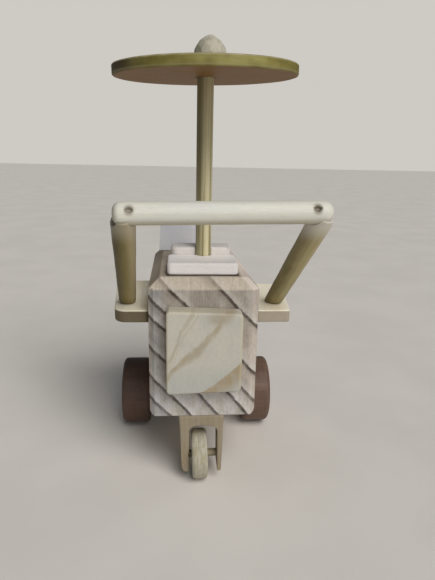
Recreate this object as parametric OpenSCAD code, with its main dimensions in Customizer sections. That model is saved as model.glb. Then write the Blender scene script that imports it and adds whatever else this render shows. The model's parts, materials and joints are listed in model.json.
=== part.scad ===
// Three-wheeled wooden toy cart: a square timber body on a small front wheel and two wide
// rear wheels, with a push bar, a seat and a round parasol on a mast.
// X is the cart's right, Y runs from the front to the back and Z is up from the floor.

/* [Body] */
// Width of the body block
body_w = 40; // [38:0.5:42]
// Length of the body block, front to back
body_len = 62; // [60:0.5:66]
// Height of the body block
body_h = 53.5; // [50:0.5:56]
// Height of the body's underside above the floor
body_low = 29.2; // [28.8:0.1:31]
// Chamfer round the four top edges
top_chamfer = 4; // [2:0.5:5]
// Chamfer on the two upright front edges
side_chamfer = 2; // [1:0.5:3]
// Rounding of the two long lower edges
low_round = 3; // [1:0.5:5]
// How far the right side runs in by the back
right_taper = 3; // [0:0.5:4]

/* [Nose block] */
// Width of the square block on the front
nose_w = 27; // [24:0.5:30]
// Height of the nose block
nose_h = 30.8; // [28:0.2:32]
// Height of its lower edge above the body's underside
nose_rise = 12.6; // [10:0.2:14]
// Thickness of the nose block
nose_t = 7; // [5:0.5:9]
// How far its corners are out of square
nose_skew = 0.5; // [0:0.1:1]

/* [Seat] */
// Width of the two seat slats
slat_w = 25.8; // [22:0.2:28]
// Thickness of the front slat
front_slat_t = 4.6; // [4:0.2:6]
// Thickness of the rear slat
rear_slat_t = 7.3; // [6:0.1:9]
// Front edge of the seat behind the body's front face
seat_front = 5.3; // [4.5:0.1:7]
// Back edge of the seat behind the body's front face
seat_back = 30.6; // [28:0.2:34]
// Front face of the back board behind the body's front face
board_y = 49; // [44:0.5:52]
// Width of the back board
board_w = 22; // [18:0.5:26]
// Height of the back board
board_h = 16.5; // [14:0.5:20]
// Thickness of the back board
board_t = 4; // [4:0.25:5]

/* [Side boards and push bar] */
// Thickness of the side boards
wing_t = 4.8; // [4:0.2:6]
// Height of the side boards' top face
wing_top = 69.7; // [66:0.1:72]
// Width of a side board at its front end
wing_w = 12.4; // [12:0.2:14]
// Extra width of a side board at its back end
wing_flare = 3.8; // [0:0.2:5]
// Front end of the side boards behind the body's front face
wing_front = 4.7; // [3:0.1:6]
// Back end of the left side board
left_wing_back = 47.2; // [44:0.2:50]
// Back end of the right side board
right_wing_back = 42.2; // [38:0.2:48]
// Diameter of the push bar
bar_d = 7.4; // [7:0.1:7.8]
// Diameter of the uprights at the push bar
top_d = 8.3; // [7.8:0.1:8.4]
// Diameter of the uprights at their feet
foot_d = 6.6; // [6.4:0.1:7.4]
// Distance of the left upright's foot from the middle
left_foot_x = 28.5; // [28:0.1:29]
// Distance of the right upright's foot from the middle
right_foot_x = 27.6; // [27:0.1:28.6]
// Uprights' feet behind the body's front face
foot_y = 15.6; // [14:0.2:20]
// How far the push bar stands ahead of the body's front face
bar_ahead = 14.7; // [10:0.1:18]
// Height of the push bar's axis at its left end
bar_z = 107.2; // [102:0.1:110]
// How much higher the push bar's right end stands
bar_rise = 1.3; // [0:0.1:2]
// How far the push bar is out of the middle, to the right
bar_shift = 5.1; // [2:0.1:6]
// Length of the push bar
bar_len = 68.6; // [68:0.1:70]
// Left upright's axis from the push bar's left end
left_in = 3.1; // [2.8:0.1:6]
// Right upright's axis from the push bar's right end
right_in = 2.4; // [2.2:0.1:6]

/* [Mast and parasol] */
// Diameter of the mast
mast_d = 6; // [5.6:0.1:6.4]
// How far the mast stands right of the middle
mast_x = 0.4; // [-1:0.1:1]
// Mast behind the body's front face
mast_y = 20.6; // [19:0.1:23]
// Depth of the mast's hole in the body
mast_sunk = 22; // [16:1:26]
// Diameter of the parasol disc
disc_d = 65.2; // [60:0.2:66]
// Thickness of the parasol disc
disc_t = 3.7; // [3:0.1:5]
// Height of the disc's underside at the mast
disc_z = 150.7; // [145:0.1:155]
// Tilt of the disc towards the front
disc_dip = 1.3; // [0:0.1:2]
// Tilt of the disc towards the left
disc_roll = 1.3; // [0:0.1:2]
// Diameter of the carved knob
knob_d = 11.8; // [10:0.1:12]
// Height of the carved knob
knob_h = 10; // [9:0.1:11]
// How far the knob is off the mast's axis
knob_shift = 1.7; // [0:0.1:2]

/* [Front wheel] */
// Diameter of the front wheel
front_d = 19.4; // [18:0.1:19.6]
// Width of the front wheel
front_w = 6.1; // [5:0.1:6.4]
// Front wheel's centre behind the body's front face
front_y = 4.8; // [4.5:0.1:6]
// How far the front wheel is left of the middle
front_off = 0.8; // [0.6:0.1:1]
// Lean of the front wheel's pin out of level
pin_lean = 2.5; // [0:0.5:3]
// Diameter of the front wheel's pin
pin_d = 3; // [2.6:0.1:3.2]
// Depth of the fork, front to back
fork_t = 10; // [8:0.5:11]

/* [Rear wheels] */
// Diameter of the rear wheels
rear_d = 30.4; // [29:0.2:31]
// Width of a rear wheel
rear_w = 12.4; // [11:0.2:12.6]
// Distance over the rear wheels' outer faces
rear_track = 67.6; // [67:0.2:69]
// How far the rear wheels sit left of the middle
rear_shift = 0.8; // [0.4:0.1:1]
// Rear axle behind the body's front face
rear_y = 49.4; // [45:0.1:51]
// Diameter of the rear axle
axle_d = 6; // [5:0.1:6.4]
// Length of the axle block, front to back
block_len = 16; // [13:0.5:18]

/* [Hidden] */
// Segments of a full circle
$fn = 64;
// Gap round a glued dowel, peg or nail
glue_gap = 0.05;
// Gap round a turning axle or pin
run_gap = 0.08;
// Overshoot of a cut past the surface it opens
over = 1;
// Segments in each rounded corner of an outline
corner_steps = 6;
// Longer than anything that it has to cut
far = 200;

body_top = body_low + body_h;
right_slope = right_taper / (body_len - side_chamfer);
seat_top = body_top + front_slat_t;
nose_low = body_low + nose_rise;
slat_mid = -0.3;
board_mid = -6.6;
bar_r = bar_d / 2;
mast_r = mast_d / 2;
mast_foot = body_top - mast_sunk;
knob_hold = 5;
mast_top = disc_z + disc_t + knob_hold;
disc_edge = 0.6;
wing_low = wing_top - wing_t;

// Two kinds of hidden dowel, the thin one only in thin boards
dowel_r = 2;
peg_r = 1.2;
dowel_half = 9;
peg_half = 6;
nose_dowel_x = 6;
board_peg_x = 6;
wing_peg_y = [12, 34];

// Nails of the push bar's frame; the upper ones go in off the uprights' axes and aim back at them
nail_r = 0.6;
nail_head_r = 0.9;
nail_head_t = 0.5;
nail_sink = 1.4;
nail_len = 16;
nail_aim = 16;
hole_in = [2.2, -3.4];
hole_up = 25;

// Fork: widths left and right of the middle at its top and at its feet
fork_left = 9;
fork_right = 8.1;
foot_left = 7.7;
foot_right = 7.6;
foot_z = 4.6;
slot_left = 5;
slot_right = 5.7;
slot_top = 24.8;
fork_front = front_y - fork_t / 2;
fork_dowel_x = 0.4;
fork_dowel_low = slot_top + 1.2;
fork_dowel_top = body_low + 9;

// Front wheel: its edge rounding, and the centre height that puts its lean on the floor
front_round = 1.5;
front_r = front_d / 2;
front_z = (front_r - front_round) * cos(pin_lean) + (front_w / 2 - front_round) * sin(pin_lean) + front_round;
front_axis = [cos(pin_lean), 0, sin(pin_lean)];
front_centre = [-front_off, front_y, front_z];
pin_left = 6.9;
pin_right = 8.3;

// Rear wheels and their axle
rear_r = rear_d / 2;
rear_round = 2;
axle_r = axle_d / 2;
axle_stub = 0.6;
rear_left = -rear_track / 2 - rear_shift;
rear_right = rear_track / 2 - rear_shift;
block_left = 18.5;
block_right = 16.5;
block_low = rear_r - axle_r - 3;
block_dowel_x = 11;

// Push bar's axis, and the uprights' two ends
bar_y = -bar_ahead;
bar_left = bar_shift - bar_len / 2;
bar_right = bar_shift + bar_len / 2;
left_round = 2.6;
right_round = 3.4;
cope_reach = 3;
seam = 40;
bar_start = [bar_left, bar_y, bar_z];
bar_end = [bar_right, bar_y, bar_z + bar_rise];
feet = [[-left_foot_x, foot_y, wing_top], [right_foot_x, foot_y, wing_top]];
tops = [along(bar_start, bar_end, left_in), along(bar_end, bar_start, right_in)];

// Middle of the whole cart's box, which is the origin
wing_outer = body_w / 2 + wing_w + wing_flare;
mid_x = (bar_right - wing_outer) / 2;
mid_y = (rear_y + rear_r + bar_y - bar_r) / 2;

function unit(v) = v / norm(v);
function along(p, q, s) = p + unit(q - p) * s;

// Points of one corner b of an outline, rounded with radius r between its neighbours a and c
function corner(a, b, c, r) =
    let (u = unit(a - b), v = unit(c - b),
         half = acos(u * v) / 2,
         centre = b + unit(u + v) * r / sin(half),
         from = b + u * r / tan(half) - centre,
         turn = (u[1] * v[0] - u[0] * v[1] > 0 ? 1 : -1) * (180 - 2 * half),
         start = atan2(from[1], from[0]))
    [for (i = [0:corner_steps]) let (a = start + turn * i / corner_steps) centre + r * [cos(a), sin(a)]];

// An outline given counterclockwise, each corner with its own radius; 0 keeps it sharp
function rounded(pts, radii) =
    let (n = len(pts))
    [for (i = [0:n - 1])
        let (before = pts[(i + n - 1) % n], after = pts[(i + 1) % n])
        for (p = radii[i] == 0 ? [pts[i]] : corner(before, pts[i], after, radii[i])) p];

// Moves the cart from its own axes to the origin at the middle of its box
module place() {
    translate([-mid_x, -mid_y, 0]) children();
}

// Turns Z onto the line from point p to point q, and starts at p
module aim(p, q) {
    d = q - p;
    translate(p) rotate([0, acos(d[2] / norm(d)), atan2(d[1], d[0])]) children();
}

// Round rod of radius r from point p to point q
module rod(p, q, r) {
    aim(p, q) cylinder(r = r, h = norm(q - p));
}

// Extrudes an XZ outline along Y, from y0 over depth t
module along_y(y0, t) {
    translate([0, y0 + t, 0]) rotate([90, 0, 0]) linear_extrude(t) children();
}

// Rod along Z with rounded ends, low and high
module rounded_rod(r, len, low, high) {
    rotate_extrude() intersection() {
        union() {
            square([r - low, len / 2]);
            translate([0, len / 2]) square([r - high, len / 2]);
            translate([0, low]) square([r, len - low - high]);
            translate([r - low, low]) circle(low);
            translate([r - high, len - high]) circle(high);
        }
        square([r, len]);
    }
}

// Places of the hidden dowels and pegs, each as [centre, direction]
nose_dowel_at = [for (x = [-nose_dowel_x, nose_dowel_x]) [[x, 0.5, nose_low + nose_h / 2], [0, 1, 0]]];
board_peg_at = [for (x = [-board_peg_x, board_peg_x])
    [[board_mid + x, board_y + board_t / 2, body_top], [0, 0, 1]]];
wing_peg_at = [for (s = [-1, 1], y = wing_peg_y) [[s * body_w / 2, y, wing_low + wing_t / 2], [1, 0, 0]]];
block_dowel_at = [for (x = [-block_dowel_x, block_dowel_x]) [[x, rear_y, body_low], [0, 0, 1]]];

// One dowel at each place, half on either side of it
module dowels(places, r, half) {
    for (p = places) rod(p[0] - p[1] * half, p[0] + p[1] * half, r);
}

// Vertical rod of the mast, with its own radius or a hole's
module mast_rod(r) {
    translate([mast_x, mast_y, mast_foot]) cylinder(r = r, h = mast_top - mast_foot);
}

// Pin of the front wheel, with its own radius or a hole's
module pin_rod(r, extra = 0) {
    rod(front_centre - front_axis * (pin_left + extra), front_centre + front_axis * (pin_right + extra), r);
}

// Axle of the rear wheels, with its own radius or a hole's
module axle_rod(r, extra = 0) {
    rod([rear_left - axle_stub - extra, rear_y, rear_r], [rear_right + axle_stub + extra, rear_y, rear_r], r);
}

// Dowel that hangs the fork from the body
module fork_dowel_rod(r) {
    translate([fork_dowel_x, front_y, fork_dowel_low]) cylinder(r = r, h = fork_dowel_top - fork_dowel_low);
}

// Nail of the push bar at one upright: from its sunk head in the bar's front down into the upright
module bar_nail(i, gap, open) {
    mouth = tops[i] + [hole_in[i], -bar_r * cos(hole_up), bar_r * sin(hole_up)];
    target = along(tops[i], feet[i], nail_aim);
    head = along(mouth, target, nail_sink);
    rod(head, along(head, target, nail_len), nail_r + gap);
    rod(open ? along(mouth, target, -over) : head, along(head, target, nail_head_t + gap), nail_head_r + gap);
}

// Nail from under a side board up into the upright's foot
module foot_nail(i, gap) {
    low = along(feet[i], tops[i], -wing_t / unit(tops[i] - feet[i])[2]);
    head = along(low, tops[i], nail_head_r);
    head_end = gap > 0 ? along(low, tops[i], -2 * over) : head;
    rod(head, along(head, tops[i], nail_len), nail_r + gap);
    rod(head_end, along(head, tops[i], nail_head_t + gap), nail_head_r + gap);
}

// Body: front outline along Y, side outline along X and plan along Z, less the right side's taper
module body_block() color([0.68, 0.64, 0.58]) place() difference() {
    half = body_w / 2;
    intersection() {
        along_y(0, body_len) polygon(rounded(
            [[-half, body_low], [half, body_low], [half, body_top],
             [-half + top_chamfer, body_top], [-half, body_top - top_chamfer]],
            [low_round, low_round, 0, 0, 0]));
        rotate([90, 0, 90]) translate([0, 0, -half]) linear_extrude(body_w) polygon(
            [[0, body_low], [body_len, body_low], [body_len, body_top - top_chamfer],
             [body_len - top_chamfer, body_top], [top_chamfer, body_top], [0, body_top - top_chamfer]]);
        translate([0, 0, body_low]) linear_extrude(body_h) polygon(
            [[-half, side_chamfer], [-half + side_chamfer, 0], [half - side_chamfer, 0],
             [half, side_chamfer], [half - right_taper, body_len], [-half, body_len]]);
    }
    translate([half, side_chamfer, body_top - top_chamfer]) rotate([0, 0, atan(right_slope)])
        rotate([0, -45, 0]) translate([0, -far / 2, -half]) cube([half, far, body_w]);
    mast_rod(mast_r + glue_gap);
    dowels(nose_dowel_at, dowel_r + glue_gap, peg_half);
    dowels(board_peg_at, peg_r + glue_gap, peg_half);
    dowels(wing_peg_at, peg_r + glue_gap, peg_half);
    dowels(block_dowel_at, dowel_r + glue_gap, dowel_half);
    fork_dowel_rod(dowel_r + glue_gap);
}

// Nose: a slightly crooked square with rounded corners
module nose_block() color([0.76, 0.73, 0.64]) place() difference() {
    half = nose_w / 2;
    top = nose_low + nose_h;
    along_y(-nose_t, nose_t) polygon(rounded(
        [[-half, nose_low - nose_skew], [half, nose_low + nose_skew],
         [half, top - nose_skew], [-half, top + nose_skew]],
        [1.6, 1.6, 1.6, 1.6]));
    dowels(nose_dowel_at, dowel_r + glue_gap, peg_half);
}

module nose_dowels() color("tan") place() dowels(nose_dowel_at, dowel_r, peg_half - glue_gap);

// One seat slat with a half-round notch for the mast
module slat(width, y0, y1, t, r) {
    half = width / 2;
    difference() {
        translate([slat_mid, 0, body_top]) linear_extrude(t) polygon(rounded(
            [[-half, y0], [half, y0], [half, y1], [-half, y1]],
            [r, r, r, r]));
        mast_rod(mast_r + glue_gap);
    }
}

module seat_front_slat() color([0.84, 0.82, 0.80]) place()
    slat(slat_w, seat_front, mast_y, front_slat_t, 1.5);

module seat_rear_slat() color([0.86, 0.84, 0.82]) place()
    slat(slat_w - 2.4, mast_y + glue_gap, seat_back, rear_slat_t, 2.5);

module back_board() color([0.69, 0.67, 0.69]) place() difference() {
    half = board_w / 2;
    along_y(board_y, board_t) polygon(rounded(
        [[board_mid - half, body_top], [board_mid + half, body_top],
         [board_mid + half, body_top + board_h], [board_mid - half + 1, body_top + board_h]],
        [0, 0, 1, 1]));
    dowels(board_peg_at, peg_r + glue_gap, peg_half);
}

module back_board_pegs() color("tan") place() dowels(board_peg_at, peg_r, peg_half - glue_gap);

// How far the body's side has run in at y: only the right side does
function run_in(s, y) = s > 0 ? right_slope * (y - side_chamfer) : 0;

// Side board on side s (-1 left, 1 right), wider at the back; r rounds its outer front corner
module side_board(s, back, r) {
    inner = body_w / 2;
    outer = inner + wing_w;
    difference() {
        translate([0, 0, wing_low]) mirror([s < 0 ? 1 : 0, 0, 0]) linear_extrude(wing_t) polygon(rounded(
            [[inner - run_in(s, wing_front), wing_front], [outer, wing_front],
             [outer + wing_flare, back], [inner - run_in(s, back), back]],
            [0, r, 1.2, 0]));
        dowels(wing_peg_at, peg_r + glue_gap, peg_half);
        foot_nail(s < 0 ? 0 : 1, glue_gap);
    }
}

module left_side_board() color([0.66, 0.60, 0.45]) place() side_board(-1, left_wing_back, 4.5);

module right_side_board() color([0.72, 0.66, 0.54]) place() side_board(1, right_wing_back, 1.2);

module side_board_pegs() color("tan") place() dowels(wing_peg_at, peg_r, peg_half - glue_gap);

// Upright i: a tapered stick, cut flat where it stands on its side board and coped round the push bar
module upright(i) {
    swell = (top_d - foot_d) / norm(tops[i] - feet[i]);
    difference() {
        aim(along(feet[i], tops[i], -top_d), tops[i]) rotate([0, 0, seam])
            cylinder(r1 = (foot_d - swell * top_d) / 2, r2 = top_d / 2, h = norm(tops[i] - feet[i]) + top_d);
        translate([-far / 2, -far / 2, wing_top - far]) cube(far);
        translate([bar_right, -far / 2, wing_top]) cube(far);
        rod(along(bar_start, bar_end, -cope_reach), along(bar_end, bar_start, -cope_reach), bar_r + glue_gap);
        bar_nail(i, glue_gap, false);
        foot_nail(i, glue_gap);
    }
}

module left_upright() color([0.51, 0.45, 0.31]) place() upright(0);

module right_upright() color([0.54, 0.48, 0.33]) place() upright(1);

module upright_nails() color("silver") place() for (i = [0, 1]) foot_nail(i, 0);

// Push bar: a dowel with rounded ends and a sunk nail hole over each upright
module push_bar() color([0.83, 0.82, 0.75]) place() difference() {
    aim(bar_start, bar_end) rounded_rod(bar_r, norm(bar_end - bar_start), left_round, right_round);
    for (i = [0, 1]) bar_nail(i, glue_gap, true);
}

module push_bar_nails() color("silver") place() for (i = [0, 1]) bar_nail(i, 0, false);

module mast() color([0.66, 0.62, 0.48]) place() mast_rod(mast_r);

// Disc: tilted a little on the mast, its hole drilled along the mast
module parasol_disc() color([0.50, 0.46, 0.28]) place() difference() {
    translate([mast_x, mast_y, disc_z]) rotate([disc_dip, -disc_roll, 0]) rotate_extrude($fn = 96) polygon(
        [[0, 0], [disc_d / 2 - disc_edge, 0], [disc_d / 2, disc_edge],
         [disc_d / 2, disc_t - disc_edge], [disc_d / 2 - disc_edge, disc_t], [0, disc_t]]);
    mast_rod(mast_r + glue_gap);
}

// Knob: a carved dome that sits on the disc, a little off the mast's axis
module parasol_knob() color([0.72, 0.69, 0.60]) place() difference() {
    r = knob_d / 2;
    translate([mast_x, mast_y, disc_z]) rotate([disc_dip, -disc_roll, 0]) translate([knob_shift, 0, disc_t])
        rotate_extrude() polygon(
            [[0, 0], [r, 0], [r, knob_h * 0.33], [r * 0.88, knob_h * 0.6],
             [r * 0.66, knob_h * 0.82], [r * 0.3, knob_h], [0, knob_h]]);
    mast_rod(mast_r + glue_gap);
}

// Fork: a slotted block, one leg thinner than the other
module front_fork() color([0.60, 0.54, 0.43]) place() difference() {
    along_y(fork_front, fork_t) polygon(rounded(
        [[-foot_left, foot_z], [-slot_left, foot_z], [-slot_left, slot_top], [slot_right, slot_top],
         [slot_right + 0.3, foot_z], [foot_right, foot_z], [fork_right, body_low], [-fork_left, body_low]],
        [1.5, 0.4, 2, 2, 0.4, 0.6, 0, 0]));
    pin_rod(pin_d / 2 + glue_gap, 2);
    fork_dowel_rod(dowel_r + glue_gap);
}

module fork_dowel() color("tan") place() fork_dowel_rod(dowel_r);

// Wheel along X from x0 to x1 on an axis through the origin, with rounded tread edges
module wheel(r, width, edge) {
    rotate([0, 90, 0]) translate([0, 0, -width / 2]) rounded_rod(r, width, edge, edge);
}

module front_wheel() color([0.74, 0.70, 0.58]) place() difference() {
    translate(front_centre) rotate([0, -pin_lean, 0]) wheel(front_r, front_w, front_round);
    pin_rod(pin_d / 2 + run_gap, 2);
}

module front_pin() color([0.58, 0.55, 0.48]) place() pin_rod(pin_d / 2);

// Block under the body's back that the rear axle turns in
module rear_axle_block() color([0.60, 0.54, 0.43]) place() difference() {
    translate([-block_left, rear_y - block_len / 2, block_low])
        cube([block_left + block_right, block_len, body_low - block_low]);
    axle_rod(axle_r + run_gap, over);
    dowels(block_dowel_at, dowel_r + glue_gap, dowel_half);
}

module axle_block_dowels() color("tan") place() dowels(block_dowel_at, dowel_r, dowel_half - glue_gap);

module rear_axle() color([0.45, 0.33, 0.27]) place() axle_rod(axle_r);

module rear_wheel(centre_x) {
    difference() {
        translate([centre_x, rear_y, rear_r]) wheel(rear_r, rear_w, rear_round);
        axle_rod(axle_r + glue_gap, over);
    }
}

module left_rear_wheel() color([0.29, 0.20, 0.17]) place() rear_wheel(rear_left + rear_w / 2);

module right_rear_wheel() color([0.36, 0.26, 0.21]) place() rear_wheel(rear_right - rear_w / 2);

body_block();
nose_block();
nose_dowels();
seat_front_slat();
seat_rear_slat();
back_board();
back_board_pegs();
left_side_board();
right_side_board();
side_board_pegs();
left_upright();
right_upright();
upright_nails();
push_bar();
push_bar_nails();
mast();
parasol_disc();
parasol_knob();
front_fork();
fork_dowel();
front_wheel();
front_pin();
rear_axle_block();
axle_block_dowels();
rear_axle();
left_rear_wheel();
right_rear_wheel();
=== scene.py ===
import json
import math

import bmesh
import bpy
from mathutils import Matrix, Vector, noise


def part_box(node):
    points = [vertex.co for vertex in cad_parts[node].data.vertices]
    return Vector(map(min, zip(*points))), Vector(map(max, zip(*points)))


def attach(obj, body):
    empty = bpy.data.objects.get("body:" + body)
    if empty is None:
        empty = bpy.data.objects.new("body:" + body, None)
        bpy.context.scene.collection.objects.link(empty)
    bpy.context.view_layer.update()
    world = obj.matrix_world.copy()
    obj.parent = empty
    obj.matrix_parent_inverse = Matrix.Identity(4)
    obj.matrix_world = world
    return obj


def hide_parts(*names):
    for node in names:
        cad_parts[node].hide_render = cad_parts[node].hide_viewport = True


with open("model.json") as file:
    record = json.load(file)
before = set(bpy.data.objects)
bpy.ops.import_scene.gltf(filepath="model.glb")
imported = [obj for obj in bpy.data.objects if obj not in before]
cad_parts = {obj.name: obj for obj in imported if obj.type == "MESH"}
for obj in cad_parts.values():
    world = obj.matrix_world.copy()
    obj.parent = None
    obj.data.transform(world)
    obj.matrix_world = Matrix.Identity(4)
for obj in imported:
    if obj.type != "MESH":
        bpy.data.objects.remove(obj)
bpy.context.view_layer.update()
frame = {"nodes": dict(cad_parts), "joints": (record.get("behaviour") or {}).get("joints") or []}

# ----
# Places: the cart's own axes start on the floor under the middle of the body's front face.
# Lengths below are in millimetres on those axes unless they say otherwise.
MM = 0.001
body_lo, body_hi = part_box("body_block")
HOME = Vector(((body_lo.x + body_hi.x) / 2, body_lo.y, 0.0))
UP = Vector((0, 0, 1))


def at(x, y, z):
    """A point of the cart's own axes, in the row frame and in metres."""
    return HOME + Vector((x, y, z)) * MM


def span(node):
    """Lowest and highest corner of a CAD node on the cart's own axes."""
    lo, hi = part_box(node)
    return (lo - HOME) / MM, (hi - HOME) / MM


JOINTS = {j["name"]: j for j in frame["joints"]}


# ----
# Node materials
def tone(r, g, b):
    """A colour named by its 0-255 screen values, as the linear colour that a shader takes."""
    line = [
        c / 255 / 12.92 if c / 255 <= 0.04045 else ((c / 255 + 0.055) / 1.055) ** 2.4
        for c in (r, g, b)
    ]
    return (*line, 1.0)


class Tree:
    """One node material, with short ways to add the nodes it is made of."""

    def __init__(self, name, rough=0.6, specular=0.3):
        self.mat = bpy.data.materials.new(name)
        self.mat.use_nodes = True
        self.nt = self.mat.node_tree
        self.nt.nodes.clear()
        self.skin = self.nt.nodes.new("ShaderNodeBsdfPrincipled")
        self.skin.inputs["Roughness"].default_value = rough
        self.skin.inputs["Specular IOR Level"].default_value = specular
        out = self.nt.nodes.new("ShaderNodeOutputMaterial")
        self.nt.links.new(self.skin.outputs[0], out.inputs["Surface"])
        self.coords = self.nt.nodes.new("ShaderNodeTexCoord")

    def put(self, value, socket):
        """Links an output, or sets a constant."""
        if isinstance(value, bpy.types.NodeSocket):
            self.nt.links.new(value, socket)
        else:
            socket.default_value = value

    def math(self, operation, *values):
        n = self.nt.nodes.new("ShaderNodeMath")
        n.operation = operation
        for i, v in enumerate(values):
            self.put(v, n.inputs[i])
        return n.outputs[0]

    def plus(self, a, b):
        return self.math("ADD", a, b)

    def minus(self, a, b):
        return self.math("SUBTRACT", a, b)

    def times(self, a, b):
        return self.math("MULTIPLY", a, b)

    def most(self, a, b):
        return self.math("MAXIMUM", a, b)

    def sway(self, field, swing):
        """A 0 to 1 field turned into a shift of up to half a swing each way."""
        return self.times(self.minus(field, 0.5), swing)

    def vector(self, operation, *values, scale=None):
        n = self.nt.nodes.new("ShaderNodeVectorMath")
        n.operation = operation
        for i, v in enumerate(values):
            self.put(v, n.inputs[i])
        if scale is not None:
            self.put(scale, n.inputs["Scale"])
        return n.outputs[1] if operation in ("LENGTH", "DISTANCE") else n.outputs[0]

    def place(self, pith=None, axis=(0, 0, 1)):
        """Position in millimetres: the cart's own axes, or seen along the grain round the pith."""
        centre = HOME / MM if pith is None else at(*pith) / MM
        turn = Vector(axis).normalized().rotation_difference(UP)
        n = self.nt.nodes.new("ShaderNodeMapping")
        n.inputs["Rotation"].default_value = turn.to_euler()
        n.inputs["Scale"].default_value = (1 / MM,) * 3
        n.inputs["Location"].default_value = -(turn @ centre)
        self.nt.links.new(self.coords.outputs["Object"], n.inputs["Vector"])
        return n.outputs[0]

    def axes(self, vector):
        n = self.nt.nodes.new("ShaderNodeSeparateXYZ")
        self.nt.links.new(vector, n.inputs[0])
        return n.outputs[0], n.outputs[1], n.outputs[2]

    def stretched(self, vector, x, y, z, seed=0.0):
        """The position scaled along each axis and moved by a seed, for a noise with its own grain."""
        n = self.nt.nodes.new("ShaderNodeVectorMath")
        n.operation = "MULTIPLY_ADD"
        self.put(vector, n.inputs[0])
        n.inputs[1].default_value = (x, y, z)
        n.inputs[2].default_value = (seed * 1.7, seed * 2.3, seed * 3.1)
        return n.outputs[0]

    def noise(self, vector, x, y, z, seed=0.0, detail=2.0, rough=0.5):
        """A noise field that runs x, y and z cells to the millimetre, with a seed of its own."""
        n = self.nt.nodes.new("ShaderNodeTexNoise")
        self.put(self.stretched(vector, x, y, z, seed), n.inputs["Vector"])
        n.inputs["Scale"].default_value = 1.0
        n.inputs["Detail"].default_value = detail
        n.inputs["Roughness"].default_value = rough
        return n.outputs[0]

    def spread(self, value, a, b, to_a=0.0, to_b=1.0, smooth=True):
        """Maps a value that runs from a to b onto to_a to to_b, and holds it beyond them."""
        n = self.nt.nodes.new("ShaderNodeMapRange")
        n.interpolation_type = "SMOOTHSTEP" if smooth else "LINEAR"
        self.put(value, n.inputs[0])
        for i, v in enumerate((a, b, to_a, to_b)):
            n.inputs[i + 1].default_value = v
        return n.outputs[0]

    def ramp(self, value, stops):
        """A grey ramp through stops of position and brightness."""
        n = self.nt.nodes.new("ShaderNodeValToRGB")
        self.put(value, n.inputs[0])
        made = n.color_ramp.elements
        while len(made) < len(stops):
            made.new(0.5)
        for e, (position, _) in zip(made, stops):
            e.position = position
        for e, (_, bright) in zip(made, stops):
            e.color = (bright, bright, bright, 1.0)
        return n.outputs[0]

    def mix(self, share, a, b):
        n = self.nt.nodes.new("ShaderNodeMix")
        n.data_type = "RGBA"
        self.put(share, n.inputs[0])
        self.put(a, n.inputs[6])
        self.put(b, n.inputs[7])
        return n.outputs[2]

    def shade(self, colour, factor):
        return self.vector("SCALE", colour, scale=factor)

    def finish(self, colour, height, bump=0.4, depth=0.1, rough=None):
        """Joins colour and height to the shader; depth is the height's full swing in millimetres."""
        self.put(colour, self.skin.inputs["Base Color"])
        n = self.nt.nodes.new("ShaderNodeBump")
        n.inputs["Strength"].default_value = bump
        n.inputs["Distance"].default_value = depth * MM
        self.put(height, n.inputs["Height"])
        self.nt.links.new(n.outputs[0], self.skin.inputs["Normal"])
        if rough is not None:
            self.put(rough, self.skin.inputs["Roughness"])
        return self.mat


def wood(name, pale, dark, pith, axis, spacing=1.6, ring=0.6, fibre=0.25, patch=0.2, patch_tone=None,
         wobble=0.6, rough=0.62, bump=0.5, seed=1.0, extra=None):
    """Solid wood: growth rings round a pith, fibres along the grain, patches and fine pores."""
    t = Tree(name, rough)
    here = t.place(pith, axis)
    x, y, _ = t.axes(here)
    sway = t.noise(here, 0.09, 0.09, 0.02, seed, 2.0)
    radius = t.math("SQRT", t.plus(t.times(x, x), t.times(y, y)))
    radius = t.plus(radius, t.sway(sway, wobble * 4))
    turns = t.math("DIVIDE", radius, spacing)
    year = t.math("FRACT", turns)
    band = t.ramp(year, [(0.0, 0.55), (0.06, 0.0), (0.45, 0.08), (0.8, 0.55), (0.93, 1.0), (1.0, 0.75)])
    strength = t.nt.nodes.new("ShaderNodeTexWhiteNoise")
    strength.noise_dimensions = "1D"
    t.put(t.plus(t.math("FLOOR", turns), seed * 13.0), strength.inputs["W"])
    depth = t.spread(strength.outputs["Value"], 0, 1, 0.45, 1.0, smooth=False)
    band = t.times(band, depth)
    colour = t.mix(t.times(band, ring), pale, dark)
    fine = t.noise(here, 3.2, 3.2, 0.16, seed + 2, 3.0, 0.6)
    coarse = t.noise(here, 0.8, 0.8, 0.05, seed + 4, 2.0, 0.55)
    streak = t.plus(t.times(fine, 0.6), t.times(coarse, 0.4))
    colour = t.shade(colour, t.spread(streak, 0.3, 0.7, 1 - fibre, 1 + fibre, smooth=False))
    cloud = t.noise(here, 0.12, 0.12, 0.05, seed + 6, 3.0, 0.6)
    colour = t.mix(t.spread(cloud, 0.42, 0.68, 0.0, patch), colour, patch_tone or dark)
    pore = t.noise(here, 7.0, 7.0, 0.5, seed + 8, 1.0)
    colour = t.shade(colour, t.spread(pore, 0.62, 0.75, 1.0, 0.82))
    height = t.plus(t.times(streak, 0.7), t.times(band, 0.2))
    height = t.minus(height, t.spread(pore, 0.62, 0.75, 0.0, 0.35))
    if extra:
        colour, height = extra(t, colour, height)
    dull = t.spread(streak, 0.3, 0.7, min(1.0, rough + 0.1), rough - 0.08, smooth=False)
    return t.finish(colour, height, bump, 0.12, dull)


# ----
# Mesh work. Meshes are built on the cart's own axes in millimetres, and moved when they are done.
def block(lo, hi):
    bm = bmesh.new()
    bmesh.ops.create_cube(bm, size=1.0)
    for v in bm.verts:
        for i in range(3):
            v.co[i] = lo[i] if v.co[i] < 0 else hi[i]
    return bm


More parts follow.
